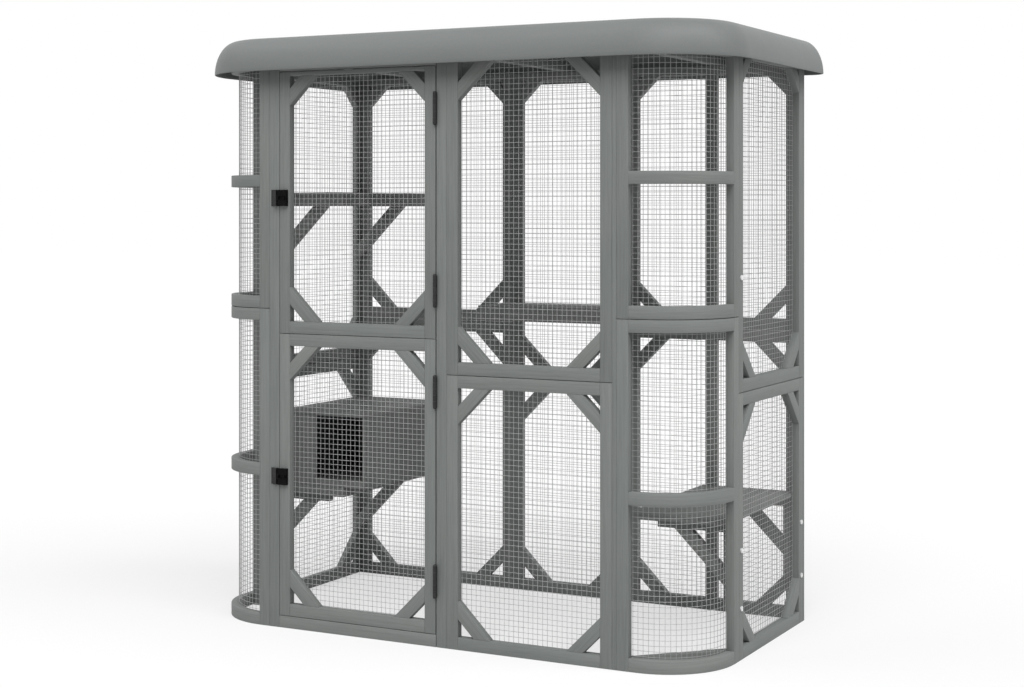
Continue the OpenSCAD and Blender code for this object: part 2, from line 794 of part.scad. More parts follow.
// One leaf of a hinge about its own axis: every second knuckle, and a plate back into the seam
module hinge_leaf(knuckles, side) {
    knuckle_h = hinge_h / knuckle_count;
    plate_x = side > 0 ? hinge_gap / 2 - leaf_t - leaf_gap : leaf_gap - hinge_gap / 2;
    plate_y = knuckle_r + leaf_inset;
    difference() {
        union() {
            for (i = knuckles) translate([0, 0, i * knuckle_h + knuckle_gap / 2]) {
                cylinder(r = knuckle_r, h = knuckle_h - knuckle_gap);
                translate([plate_x, 0, 0]) cube([leaf_t, plate_y + leaf_inset, knuckle_h - knuckle_gap]);
            }
            translate([plate_x, plate_y, 0]) cube([leaf_t, leaf_d - leaf_inset, hinge_h]);
        }
        translate([0, 0, -cut]) cylinder(r = pin_r + pin_play, h = hinge_h + 2 * cut);
    }
}

module hinges(heights, knuckles, side) {
    for (z = heights) translate([hinge_x, hinge_y, z - hinge_h / 2]) hinge_leaf(knuckles, side);
}

module post_hinge_leaves() {
    color(black) hinges(concat(lower_hinge_z, upper_hinge_z), [0:2:knuckle_count - 1], 1);
}

module hinge_pins() {
    color(black) for (z = concat(lower_hinge_z, upper_hinge_z))
        translate([hinge_x, hinge_y, z - hinge_h / 2]) cylinder(r = pin_r, h = hinge_h);
}

module upper_door_hinge_leaves() {
    color(black) hinges(upper_hinge_z, [1:2:knuckle_count - 1], -1);
}

module lower_door_hinge_leaves() {
    color(black) hinges(lower_hinge_z, [1:2:knuckle_count - 1], -1);
}

// Keeper on the post: a plate with a raised staple that takes the tongue
module keeper(z) {
    plate_x = door_left_x - keeper_w - keeper_inset;
    staple_x = plate_x + keeper_w - staple_w - staple_inset;
    translate([0, front_y, z]) difference() {
        union() {
            translate([plate_x, -keeper_t, -latch_h / 2]) cube([keeper_w, keeper_t, latch_h]);
            translate([staple_x, -latch_case_d, -latch_h / 2]) cube([staple_w, latch_case_d, latch_h]);
        }
        translate([staple_x - cut, -latch_slot_y - tongue_t - latch_play, -tongue_h / 2 - latch_play])
            cube([staple_w + 2 * cut, tongue_t + 2 * latch_play, tongue_h + 2 * latch_play]);
    }
}

module latch_keepers() {
    color(black) {
        keeper(upper_latch_z);
        keeper(lower_latch_z);
    }
}

// Case on the door: a block with a through slot for the tongue and a window for the knob
module latch_case(z) {
    slot_h = tongue_h + 2 * latch_play;
    window_h = slot_h - 2 * window_rim;
    translate([door_leaf_x, front_y, z]) difference() {
        translate([0, -latch_case_d, -latch_h / 2]) cube([latch_case_w, latch_case_d, latch_h]);
        translate([-cut, -latch_slot_y - tongue_t - latch_play, -slot_h / 2])
            cube([latch_case_w + 2 * cut, tongue_t + 2 * latch_play, slot_h]);
        translate([(latch_case_w - window_w) / 2, -latch_case_d - cut, -window_h / 2])
            cube([window_w, latch_case_d / 2, window_h]);
    }
}

// Tongue as it lies when drawn back, with its thumb knob
module latch_tongue(z) {
    knob_x = (latch_case_w + window_w) / 2 - latch_play - knob_w;
    color(black) translate([door_leaf_x, front_y, z]) union() {
        translate([0, -latch_slot_y - tongue_t, -tongue_h / 2])
            cube([latch_case_w + tongue_out, tongue_t, tongue_h]);
        translate([knob_x, -latch_case_d - knob_out, -tongue_h / 2 + knob_inset])
            cube([knob_w, latch_case_d + knob_out - latch_slot_y - tongue_t / 2, tongue_h - 2 * knob_inset]);
    }
}

module upper_latch_case() {
    color(black) latch_case(upper_latch_z);
}

module lower_latch_case() {
    color(black) latch_case(lower_latch_z);
}

module upper_latch_tongue() {
    latch_tongue(upper_latch_z);
}

module lower_latch_tongue() {
    latch_tongue(lower_latch_z);
}

// A bolt along +Y, with the underside of its head at the origin
module bolt() {
    rotate([-90, 0, 0]) translate([0, 0, -bolt_head_t]) {
        cylinder(r = bolt_head_r, h = bolt_head_t);
        cylinder(r = bolt_r, h = bolt_head_t + board_t);
    }
}

module panel_bolts() {
    color(zinc) on_right() {
        for (z = concat(upper_bolt_z, lower_bolt_z)) translate([stile_w / 2, -fit / 2, z]) bolt();
        for (z = lower_bolt_z) translate([right_side_w - stile_w / 2, -fit / 2, z]) bolt();
    }
}

module upper_door_frame() {
    color(stain) on_front(door_leaf_x)
        panel_frame(door_leaf_w, upper_door_z, door_top_z, door_top_rail, door_top_leg);
}

module upper_door_mesh() {
    color(zinc) on_front(door_leaf_x)
        panel_net(door_leaf_w, upper_door_z, door_top_z, door_top_rail, door_top_leg);
}

module lower_door_frame() {
    color(stain) on_front(door_leaf_x)
        panel_frame(door_leaf_w, sill_h + door_gap, door_seam_z - door_gap / 2);
}

module lower_door_mesh() {
    color(zinc) on_front(door_leaf_x) panel_net(door_leaf_w, sill_h + door_gap, door_seam_z - door_gap / 2);
}

roof();
roof_joists();
door_header();
door_sill();
front_left_post();
front_middle_post();
front_narrow_post();
back_right_filler();
main_upper_frame();
main_lower_frame();
main_upper_mesh();
main_lower_mesh();
left_corner_upper_frame();
left_corner_lower_frame();
left_corner_upper_mesh();
left_corner_lower_mesh();
right_corner_upper_frame();
right_corner_lower_frame();
right_corner_upper_mesh();
right_corner_lower_mesh();
corner_tie_bar();
left_side_upper_frame();
left_side_lower_frame();
left_side_meshes();
right_side_upper_frame();
right_side_lower_frame();
right_side_meshes();
back_left_upper_frame();
back_left_lower_frame();
back_left_meshes();
back_middle_upper_frame();
back_middle_lower_frame();
back_middle_meshes();
back_right_upper_frame();
back_right_lower_frame();
back_right_meshes();
upper_shelf();
nest_platform();
left_shelf_brackets();
nest_box();
nest_lid();
right_platform();
right_platform_brackets();
back_shelf();
post_hinge_leaves();
hinge_pins();
latch_keepers();
panel_bolts();
upper_door_frame();
upper_door_mesh();
upper_door_hinge_leaves();
upper_latch_case();
upper_latch_tongue();
lower_door_frame();
lower_door_mesh();
lower_door_hinge_leaves();
lower_latch_case();
lower_latch_tongue();
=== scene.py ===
"""Looks for the cat enclosure on its CAD frame: eased boards, welded mesh, moulded roof, black fittings."""
import math
import random

import bmesh
import bpy
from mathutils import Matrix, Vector


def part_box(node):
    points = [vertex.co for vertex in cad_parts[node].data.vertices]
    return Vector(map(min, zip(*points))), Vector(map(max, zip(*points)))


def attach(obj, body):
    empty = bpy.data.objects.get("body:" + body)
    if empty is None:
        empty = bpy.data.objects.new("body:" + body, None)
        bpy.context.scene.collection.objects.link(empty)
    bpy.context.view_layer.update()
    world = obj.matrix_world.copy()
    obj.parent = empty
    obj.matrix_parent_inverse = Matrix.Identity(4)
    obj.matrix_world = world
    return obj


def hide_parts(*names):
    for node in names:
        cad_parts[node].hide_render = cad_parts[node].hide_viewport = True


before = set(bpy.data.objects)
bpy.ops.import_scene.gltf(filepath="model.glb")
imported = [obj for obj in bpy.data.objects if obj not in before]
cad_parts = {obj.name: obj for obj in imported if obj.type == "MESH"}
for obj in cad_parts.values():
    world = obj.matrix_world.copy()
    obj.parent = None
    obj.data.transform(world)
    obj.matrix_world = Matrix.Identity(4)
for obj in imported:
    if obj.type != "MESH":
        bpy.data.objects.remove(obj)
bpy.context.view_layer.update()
SEED = 11
rng = random.Random(SEED)


def box_mm(name):
    """A CAD node's box in millimetres."""
    lo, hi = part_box(name)
    return lo * 1000, hi * 1000


# Sizes are in millimetres, angles in degrees

# Wall frames: face of a stile, board thickness, reach of a brace, gap between boards
STILE, BOARD, LEG, FIT = 30.0, 20.0, 86.0, 0.3
# Height of a frame's top rail, and reach of the braces under it
WALL_TOP, FRONT_TOP, DOOR_TOP, PLAIN_TOP = (21.0, 60.0), (24.0, 92.0), (10.0, 74.0), (STILE, LEG)
# From the left end of the back's right frames to their extra upright
UPRIGHT_AT = 225.0
# Stacked fixed frames are drawn back by this at the line between them
SEAM_GAP = 0.6

# How far edges are eased: boards, curved rails, planks, the nest box's panels
EASE, RAIL_EASE, PLANK_EASE, PANEL_EASE = 0.5, 1.2, 1.0, 0.6
# How far the middle of a curved rail's eased edge lies in, as a share of its ease
RAIL_SOFTNESS = 0.3
# How far a board's place in the grain is moved at random, in metres
GRAIN_REACH = 9

# Welded mesh: pitch, wire radius, sides of a wire, depth of the upright and of the level wires in a frame
PITCH, WIRE_R, WIRE_SIDES, UPRIGHT_T, LEVEL_T = 12.7, 0.55, 6, 16.7, 17.6
# A wire that rises more steeply than this, as a share of its length, takes its sides from another axis
STEEP = 0.9
# How far wires run on behind the boards, and how far the curved nets' level wires lie inside the upright ones
TUCK, CURVED_TUCK, CURVED_LAYER = 4.0, 3.0, 0.9
# Unevenness of the flat nets' pitch, and of the curved nets' pitch and a flat wire's far end
DRIFT, WOBBLE = 0.35, 0.3

# Rounded corners: outer radius, depth of the curved rails, radius of the net, undersides of the middle rails
CORNER_R, CURVED_T, NET_R, MIDDLE_RAILS = 175.0, 22.0, 155.3, {"upper": 1114.0, "lower": 380.0}
# Straight run between bend and stile: at the front of the right corner, and at the side of the left one
FRONT_RUN, LAP_RUN = 16.0, 10.0
# Turn between two sections of a curved rail and of a curved wire
RAIL_STEP, NET_STEP = 4, 6

# Shelves: deck thickness, planks in a deck, gap between planks and between those of the nest's lid
DECK, PLANKS, PLANK_GAP, LID_GAP = 10.0, 3, 0.8, 0.4

# Brackets: height of an arm, reach of its brace, reach of the arm
# The upper shelf's arms end at its side rail
SHELF_ARM_H, SHELF_LEG = 26.0, 156.0
NEST_ARM_H, NEST_LEGS, NEST_ARM = 18.0, (125.0, 154.0), 166.0
PLATFORM_ARM_H, PLATFORM_LEG, PLATFORM_ARM = 27.0, 124.0, 198.0
# Uprights under the platform's arms
UPRIGHT_W, UPRIGHT_H = 30.0, 183.0

# Nest box: wall, entrance, sill of the entrance, width of the front's left panel, half a gap between panels
WALL, ENTRANCE_W, ENTRANCE_SILL, NEST_PANEL, PANEL_GAP = 9.0, 146.0, 20.0, 75.0, 0.2

# Roof: corner radii, least radius of a drawn-in corner, run of the shoulder, skin
ROOF_FRONT_R, ROOF_BACK_R, ROOF_TIGHT_R, SHOULDER, SKIN = 218.0, 45.0, 8.0, 57.0, 3.0
# The rim's rounded lip: how far in from the skin its edges lie, how high they lie, how far in its foot is
LIP_EDGE, LIP_RISE, LIP_FOOT = 0.4, 0.35, 1.5
# Steps round a front corner, round a back corner and down the shoulder, and the shoulder's turn
ROOF_FRONT_STEPS, ROOF_BACK_STEPS, SHOULDER_STEPS, SHOULDER_TURN = 24, 12, 17, 89

# Roof joists: places, width, height at the ends
JOISTS_X, JOIST_W, JOIST_END_H = (-489.0, -3.0, 443.0), 30.0, 20.0

# Hinges: the pins' axis, height of a hinge, heights of the middles of the four hinges
HINGE_X, HINGE_Y, HINGE_H, HINGES_Z = -3.0, -358.0, 75.0, (159.0, 616.0, 860.0, 1300.0)
# A pin's domed end and its shank, as radius and height, and its number of sides
PIN_TIP = [(0.6, -3.4), (2.6, -3.1), (4.0, -2.2), (4.7, -0.9), (4.8, 0.0)]
PIN_SHANK = [(2.5, 0.05), (2.5, HINGE_H - 0.05)]
PIN_SIDES = 20

# Edges that turn by more than this stay sharp in the shading
BOARD_SHARP, WIRE_SHARP, ROOF_SHARP, PIN_SHARP = 28, 75, 50, 40

# Colours, and levels of grey
STAIN, SHELF_STAIN, ROOF_COLOUR = (0.181, 0.191, 0.186), (0.160, 0.168, 0.163), (0.150, 0.161, 0.158)
WIRE_LEVEL, BOLT_LEVEL, STEEL_LEVEL, LATCH_LEVEL = 0.42, 0.82, 0.010, 0.0022
# The floor as it lights the part, as it is seen, and its own glow where it is seen
FLOOR_BOUNCE, FLOOR_SEEN, FLOOR_GLOW = 0.62, 0.35, 0.565
# The studio as it lights the part and as it is seen
STUDIO_LIGHT, STUDIO_SEEN = 0.34, 1.0

# Half the floor's width in metres, and the spread of the suns
FLOOR_REACH, SUN_SPREAD = 30.0, 45
# Camera: sensor width, lens, shift of the picture as a share of its width, place in metres, direction
SENSOR, LENS, SHIFT_Y = 36, 63.58, -0.1306
CAMERA_AT, CAMERA_AIM = (2.1731, -4.1373, 1.0551), (-0.4616, 0.8871, 0)


# Meshes

def shaded(mesh, bm, sharp):
    """Fills the mesh from bm, with its faces turned outwards and smooth shading but for sharp edges."""
    bmesh.ops.recalc_face_normals(bm, faces=bm.faces[:])
    bm.to_mesh(mesh)
    bm.free()
    mesh.shade_smooth()
    mesh.set_sharp_from_angle(angle=math.radians(sharp))
    return mesh


def shell(name, verts, faces, sharp):
    """A shaded mesh from points in metres and faces."""
    mesh = bpy.data.meshes.new(name)
    mesh.from_pydata(verts, [], faces)
    mesh.update()
    bm = bmesh.new()
    bm.from_mesh(mesh)
    return shaded(mesh, bm, sharp)


def tube_faces(base, rings, sides):
    """The faces of a closed tube, whose rings of points start at the index base."""
    faces = []
    for i in range(rings - 1):
        for k in range(sides):
            a, b = base + i * sides + k, base + i * sides + (k + 1) % sides
            faces.append((a, b, b + sides, a + sides))
    last = base + (rings - 1) * sides
    return faces + [tuple(range(base, base + sides))[::-1], tuple(range(last, last + sides))]


def settle(name, mesh, body, finish, nodes):
    """Puts a mesh on a body in place of the CAD nodes that it dresses."""
    obj = bpy.data.objects.new(name, mesh)
    bpy.context.scene.collection.objects.link(obj)
    mesh.materials.append(finish)
    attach(obj, body)
    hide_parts(*nodes)


# Places

def plain_place(x, y, z):
    return Vector((x, y, z)) / 1000


def wall_place(side, lo, hi):
    """Turns (along the wall, depth from its outer face, height) into a point of the frame, in metres."""
    if side == "front":
        return lambda u, t, z: Vector((lo.x + u, lo.y + t, z)) / 1000
    if side == "right":
        return lambda u, t, z: Vector((hi.x - t, lo.y + u, z)) / 1000
    if side == "left":
        return lambda u, t, z: Vector((lo.x + t, hi.y - u, z)) / 1000
    return lambda u, t, z: Vector((hi.x - u, hi.y - t, z)) / 1000


def corner_place(hand, lo, hi):
    """Turns a point about a corner's own axis into a point of the frame. The left corner is mirrored."""
    if hand == "right":
        return lambda x, y, z: Vector((hi.x - CORNER_R + x, lo.y + CORNER_R + y, z)) / 1000
    return lambda x, y, z: Vector((lo.x + CORNER_R - x, lo.y + CORNER_R + y, z)) / 1000


def corner_path(r, front, side, step):
    """Points (x, y, nx, ny, length) round a corner about its own axis, from the front to the side."""
    pts = []
    if front > 0:
        pts.append((-front, -r, 0.0, -1.0))
    n = int(round(90 / step))
    for i in range(n + 1):
        a = math.radians(-90 + 90 * i / n)
        pts.append((r * math.cos(a), r * math.sin(a), math.cos(a), math.sin(a)))
    if side > 0:
        pts.append((r, side, 1.0, 0.0))
    out, s = [], 0.0
    for i, p in enumerate(pts):
        if i:
            s += math.dist(p[:2], pts[i - 1][:2])
        out.append((*p, s))
    return out


def on_path(path, s):
    """The point (x, y) at a length along a corner path, or just past its ends."""
    for a, b in zip(path, path[1:]):
        if s <= b[4] or b is path[-1]:
            k = (s - a[4]) / (b[4] - a[4])
            return a[0] + (b[0] - a[0]) * k, a[1] + (b[1] - a[1]) * k


# Boards

def board_chance():
    """A board's own place in the grain, and its own tint."""
    shift = Vector((rng.uniform(0, GRAIN_REACH), rng.uniform(0, GRAIN_REACH), rng.uniform(0, GRAIN_REACH)))
    return shift, rng.uniform(0, 1)


class Timber:
    """Boards gathered into one mesh. Each keeps its own grain coordinates and tint."""

    def __init__(self, name):
        self.name = name
        self.bm = bmesh.new()
        self.grain = self.bm.verts.layers.float_vector.new("grain")
        self.tint = self.bm.verts.layers.float.new("tint")

    def _vert(self, point, grain, tint):
        v = self.bm.verts.new(point)
        v[self.grain] = grain
        v[self.tint] = tint
        return v

    def _take(self, part, place, along):
        shift, tint = board_chance()
        across = (-along[1], along[0])
        made = {}
        for v in part.verts:
            u, t, z = v.co
            grain = Vector((u * along[0] + z * along[1], u * across[0] + z * across[1], t)) / 1000 + shift
            made[v] = self._vert(place(u, t, z), grain, tint)
        for f in part.faces:
            self.bm.faces.new([made[v] for v in f.verts])
        part.free()

    def prism(self, points, t0, t1, place, along=(0, 1), ease=EASE):
        """A board with the outline points in the wall's plane, from depth t0 to t1."""
        part = bmesh.new()
        low = [part.verts.new((p[0], t0, p[1])) for p in points]
        top = [part.verts.new((p[0], t1, p[1])) for p in points]
        n = len(points)
        part.faces.new(low)
        part.faces.new(top[::-1])
        for i in range(n):
            part.faces.new([low[(i + 1) % n], low[i], top[i], top[(i + 1) % n]])
        bmesh.ops.recalc_face_normals(part, faces=part.faces[:])
        bmesh.ops.bevel(part, geom=part.edges[:], offset=ease, segments=2, profile=0.5, affect="EDGES",
                        clamp_overlap=True)
        self._take(part, place, along)

    def box(self, u, t, z, du, dt, dz, place=plain_place, along="z", ease=EASE):
        """A square board. along is the axis of its grain: u, t or z."""
        if along == "t":
            turned = lambda a, b, c: place(b, a, c)
            self.prism([(t, z), (t + dt, z), (t + dt, z + dz), (t, z + dz)], u, u + du, turned, (1, 0), ease)
            return
        self.prism([(u, z), (u + du, z), (u + du, z + dz), (u, z + dz)], t, t + dt, place,
                   (1, 0) if along == "u" else (0, 1), ease)

    def brace(self, u, z, su, sz, leg, place):
        """A diagonal board across the corner at (u, z). su and sz point into the opening."""
        far, near = leg - FIT, leg - FIT - STILE * math.sqrt(2)
        pts = [(far, 0), (0, far), (0, near), (near, 0)]
        pts = [(u + su * (FIT + a), z + sz * (FIT + b)) for a, b in pts]
        d = math.sqrt(0.5)
        self.prism(pts, 0, BOARD, place, (d * su, -d * sz))

    def rail(self, z, h, front, side, place):
        """A curved corner rail swept along its bend with an eased section."""
        e, w, soft = RAIL_EASE, CURVED_T, RAIL_EASE * RAIL_SOFTNESS
        section = [(-e, 0), (-soft, soft), (0, e), (0, h - e), (-soft, h - soft), (-e, h),
                   (e - w, h), (soft - w, h - soft), (-w, h - e), (-w, e), (soft - w, soft), (e - w, 0)]
        shift, tint = board_chance()
        rings = [[self._vert(place(x + nx * a, y + ny * a, z + b), Vector((s, b, a)) / 1000 + shift, tint)
                  for a, b in section] for x, y, nx, ny, s in corner_path(CORNER_R, front, side, RAIL_STEP)]
        n = len(section)
        for r0, r1 in zip(rings, rings[1:]):
            for i in range(n):
                self.bm.faces.new([r0[i], r0[(i + 1) % n], r1[(i + 1) % n], r1[i]])
        self.bm.faces.new(rings[0])
        self.bm.faces.new(rings[-1][::-1])

    def done(self, finish, slot, cad_node, body="frame"):
        mesh = shaded(bpy.data.meshes.new(self.name), self.bm, BOARD_SHARP)
        settle(self.name, mesh, body, finish, [cad_node])


# Wires

def spread(span):
    """The places of wires across a span at the mesh pitch, before their unevenness."""
    n = int(span // PITCH)
    return [(span - n * PITCH) / 2 + i * PITCH for i in range(n + 1)]


class Wires:
    """Round wires gathered into one mesh."""

    def __init__(self, cad_node):
        self.cad_node, self.verts, self.faces = cad_node, [], []

    def run(self, points):
        """A wire through points in metres."""
        n, r, base = WIRE_SIDES, WIRE_R / 1000, len(self.verts)
        for i, p in enumerate(points):
            d = (points[min(i + 1, len(points) - 1)] - points[max(i - 1, 0)]).normalized()
            side = d.cross(Vector((0, 0, 1)) if abs(d.z) < STEEP else Vector((0, 1, 0))).normalized()
            up = side.cross(d)
            for k in range(n):
                a = 2 * math.pi * k / n
                self.verts.append(p + side * (r * math.cos(a)) + up * (r * math.sin(a)))
        self.faces += tube_faces(base, len(points), n)

    def net(self, place, u0, u1, z0, z1, legs):
        """A flat net over an opening. legs is the reach of its braces: ll, lr, ul and ur."""
        # Lower left, lower right, upper left, upper right
        ll, lr, ul, ur = legs
        span, rise = u1 - u0, z1 - z0
        for d in spread(span):
            d += rng.uniform(-DRIFT, DRIFT)
            low = max(0.0, ll - d, lr - (span - d)) - TUCK
            high = max(0.0, ul - d, ur - (span - d)) - TUCK
            self.run([place(u0 + d, UPRIGHT_T, z0 + low),
                      place(u0 + d + rng.uniform(-WOBBLE, WOBBLE), UPRIGHT_T, z1 - high)])
        for d in spread(rise):
            d += rng.uniform(-DRIFT, DRIFT)
            left = max(0.0, ll - d, ul - (rise - d)) - TUCK
            right = max(0.0, lr - d, ur - (rise - d)) - TUCK
            self.run([place(u0 + left, LEVEL_T, z0 + d),
                      place(u1 - right, LEVEL_T, z0 + d + rng.uniform(-WOBBLE, WOBBLE))])

    def bay(self, place, z0, z1, front, side):
        """A curved net between two corner rails."""
        path = corner_path(NET_R, front, side, NET_STEP)
        for s in spread(path[-1][4]):
            x, y = on_path(path, s + rng.uniform(-WOBBLE, WOBBLE))
            self.run([place(x, y, z0 - CURVED_TUCK), place(x, y, z1 + CURVED_TUCK)])
        for d in spread(z1 - z0):
            z = z0 + d + rng.uniform(-WOBBLE, WOBBLE)
            self.run([place(x - nx * CURVED_LAYER, y - ny * CURVED_LAYER, z) for x, y, nx, ny, _ in path])

    def done(self, body="frame"):
        name = self.cad_node + "_wires"
        mesh = shell(name, [tuple(v) for v in self.verts], self.faces, WIRE_SHARP)
        settle(name, mesh, body, wire_zinc, [self.cad_node])


# Shader helpers

def material(name):
    """A new material, its node tree and its main shader."""
    m = bpy.data.materials.new(name)
    m.use_nodes = True
    nt = m.node_tree
    return m, nt, nt.nodes["Principled BSDF"]


def node(nt, kind, **values):
    """A shader node with its sockets and settings set by name."""
    n = nt.nodes.new(kind)
    for k, v in values.items():
        if k in n.inputs:
            n.inputs[k].default_value = v
        else:
            setattr(n, k, v)
    return n


def object_vector(nt):
    return node(nt, "ShaderNodeTexCoord").outputs["Object"]


def noise(nt, vector, scale, detail=4.0, rough=0.55, stretch=(1, 1, 1), shift=(0, 0, 0)):
    """Noise over the stretched and shifted vector, from 0 to 1."""
    mapping = node(nt, "ShaderNodeMapping", Scale=stretch, Location=shift)
    nt.links.new(vector, mapping.inputs["Vector"])
    n = node(nt, "ShaderNodeTexNoise", Scale=scale, Detail=detail, Roughness=rough)
    nt.links.new(mapping.outputs["Vector"], n.inputs["Vector"])
    return n.outputs["Fac"]


def ramp(nt, fac, *stops):
    """A colour that follows fac. Each stop is a position with a colour, or with a level of grey."""
    n = node(nt, "ShaderNodeValToRGB")
    nt.links.new(fac, n.inputs["Fac"])
    elements = n.color_ramp.elements
    while len(elements) < len(stops):
        elements.new(0.5)
    for element, (position, colour) in zip(elements, stops):
        element.position = position
        element.color = (*colour, 1.0) if isinstance(colour, tuple) else (colour, colour, colour, 1.0)
    return n.outputs["Color"]


def mix(nt, kind, fac, a, b):
    """Two colours mixed. fac, a and b are sockets or plain values."""
    n = node(nt, "ShaderNodeMix", data_type="RGBA", blend_type=kind)
    for socket, value in ((n.inputs["Factor"], fac), (n.inputs[6], a), (n.inputs[7], b)):
        if hasattr(value, "is_output"):
            nt.links.new(value, socket)
        else:
            socket.default_value = value
    return n.outputs[2]


def times(nt, a, b):
    return mix(nt, "MULTIPLY", 1.0, a, b)


def bump(nt, bsdf, height, strength, distance, normal=None):
    """Raises the surface by a height, over the true normal or a given one. distance is in metres."""
    n = node(nt, "ShaderNodeBump", Strength=strength, Distance=distance)
    nt.links.new(height, n.inputs["Height"])
    if normal is not None:
        nt.links.new(normal, n.inputs["Normal"])
    nt.links.new(n.outputs["Normal"], bsdf.inputs["Normal"])


# Materials

def rubbed_edges(nt, vector, soft):
    """Where the stain is rubbed: along the edges that soft rounds, in patches."""
    dot = node(nt, "ShaderNodeVectorMath", operation="DOT_PRODUCT")
    nt.links.new(soft, dot.inputs[0])
    nt.links.new(node(nt, "ShaderNodeNewGeometry").outputs["True Normal"], dot.inputs[1])
    edge = ramp(nt, dot.outputs["Value"], (0.80, 1.0), (0.985, 0.0))
    spots = noise(nt, vector, 40.0, detail=3.0, rough=0.6, stretch=(0.6, 1, 1), shift=(1, 8, 3))
    return times(nt, edge, ramp(nt, spots, (0.45, 0.0), (0.68, 1.0)))


def stained_timber(name, colour, boards=True):
    """Grey stain over softwood: pale and dark streaks, pores, soft blotches and slightly rubbed edges."""
    m, nt, bsdf = material(name)
    # Redrawn boards carry their own grain and tint
    if boards:
        vector = node(nt, "ShaderNodeAttribute", attribute_name="grain").outputs["Vector"]
        tint = node(nt, "ShaderNodeAttribute", attribute_name="tint").outputs["Fac"]
    else:
        vector = object_vector(nt)
        tint = node(nt, "ShaderNodeNewGeometry").outputs["Random Per Island"]
    # The grain wanders a little sideways, in metres
    wander = (0.0, 0.010, 0.010)
    warped = node(nt, "ShaderNodeVectorMath", operation="MULTIPLY_ADD")
    nt.links.new(noise(nt, vector, 2.2, detail=2.0, rough=0.5, stretch=(1, 6, 6)), warped.inputs[0])
    warped.inputs[1].default_value = wander
    nt.links.new(vector, warped.inputs[2])
    wandering = warped.outputs["Vector"]
    streak = noise(nt, wandering, 1.0, detail=5.0, rough=0.65, stretch=(5, 210, 210))
    pores = noise(nt, wandering, 1.0, detail=3.0, rough=0.6, stretch=(22, 800, 800), shift=(3, 1, 2))
    blotch = noise(nt, vector, 7.0, detail=3.0, rough=0.5, stretch=(1, 1.8, 1.8), shift=(5, 2, 7))
    base = ramp(nt, streak, (0.28, 0.84), (0.5, 0.985), (0.72, 1.09))
    base = times(nt, base, (*colour, 1.0))
    base = times(nt, base, ramp(nt, pores, (0.3, 0.93), (0.62, 1.02)))
    base = times(nt, base, ramp(nt, blotch, (0.3, (0.955, 0.97, 0.965)), (0.7, (1.03, 1.02, 1.015))))
    base = times(nt, base, ramp(nt, tint, (0.0, (0.965, 0.98, 0.975)), (1.0, (1.03, 1.02, 1.015))))
    soft = node(nt, "ShaderNodeBevel", samples=4, Radius=0.0009).outputs["Normal"]
    paler = (1.22, 1.20, 1.17, 1.0)
    base = mix(nt, "MIX", rubbed_edges(nt, vector, soft), base, times(nt, base, paler))
    nt.links.new(base, bsdf.inputs["Base Color"])
    nt.links.new(ramp(nt, streak, (0.3, 0.60), (0.7, 0.74)), bsdf.inputs["Roughness"])
    bsdf.inputs["Specular IOR Level"].default_value = 0.35
    relief = mix(nt, "MIX", 0.45, streak, pores)
    bump(nt, bsdf, relief, strength=0.28, distance=0.0006, normal=soft)
    return m


def galvanised(name, level, rough):
    """Zinc with a faint spangle, slightly cooler where it is bright."""
    m, nt, bsdf = material(name)
    vector = object_vector(nt)
    spangle = noise(nt, vector, 180.0, detail=3.0, rough=0.6)
    bright = (level * 1.08, level * 1.09, level * 1.09)
    nt.links.new(ramp(nt, spangle, (0.3, level * 0.80), (0.7, bright)), bsdf.inputs["Base Color"])
    bsdf.inputs["Metallic"].default_value = 0.55
    haze = ramp(nt, noise(nt, vector, 90.0), (0.3, rough - 0.08), (0.7, rough + 0.12))
    nt.links.new(haze, bsdf.inputs["Roughness"])
    bump(nt, bsdf, spangle, strength=0.15, distance=0.0002)
    return m


def powder_coat(name, level, sheen):
    """Black coating over steel: a level of grey with paler scuffs and a fine orange peel."""
    m, nt, bsdf = material(name)
    vector = object_vector(nt)
    peel = noise(nt, vector, 900.0, detail=2.0, rough=0.5)
    scuff = noise(nt, vector, 70.0, rough=0.65, shift=(2, 5, 1))
    nt.links.new(ramp(nt, scuff, (0.4, level), (0.75, level * 2.2)), bsdf.inputs["Base Color"])
    nt.links.new(ramp(nt, scuff, (0.35, 0.38), (0.7, 0.52)), bsdf.inputs["Roughness"])
    bsdf.inputs["Specular IOR Level"].default_value = sheen
    bump(nt, bsdf, peel, strength=0.25, distance=0.0002)
    return m


def moulded_roof(name, colour):
    """Thick moulded sheet: a satin skin with a fine grained surface and faint flow marks."""
    m, nt, bsdf = material(name)
    vector = object_vector(nt)
    broad = noise(nt, vector, 2.6, detail=3.0, rough=0.5, stretch=(1, 1, 2))
    fine = noise(nt, vector, 420.0, detail=3.0, rough=0.6)
    flow = noise(nt, vector, 1.0, rough=0.6, stretch=(2.0, 26, 26), shift=(4, 0, 2))
    base = times(nt, ramp(nt, broad, (0.3, 0.95), (0.7, 1.04)), (*colour, 1.0))
    base = times(nt, base, ramp(nt, flow, (0.3, 0.965), (0.7, 1.03)))
    base = times(nt, base, ramp(nt, fine, (0.3, 0.96), (0.7, 1.03)))
    nt.links.new(base, bsdf.inputs["Base Color"])
    nt.links.new(ramp(nt, broad, (0.3, 0.46), (0.7, 0.58)), bsdf.inputs["Roughness"])
    bsdf.inputs["Specular IOR Level"].default_value = 0.4
    bump(nt, bsdf, fine, strength=0.12, distance=0.0004)
    return m


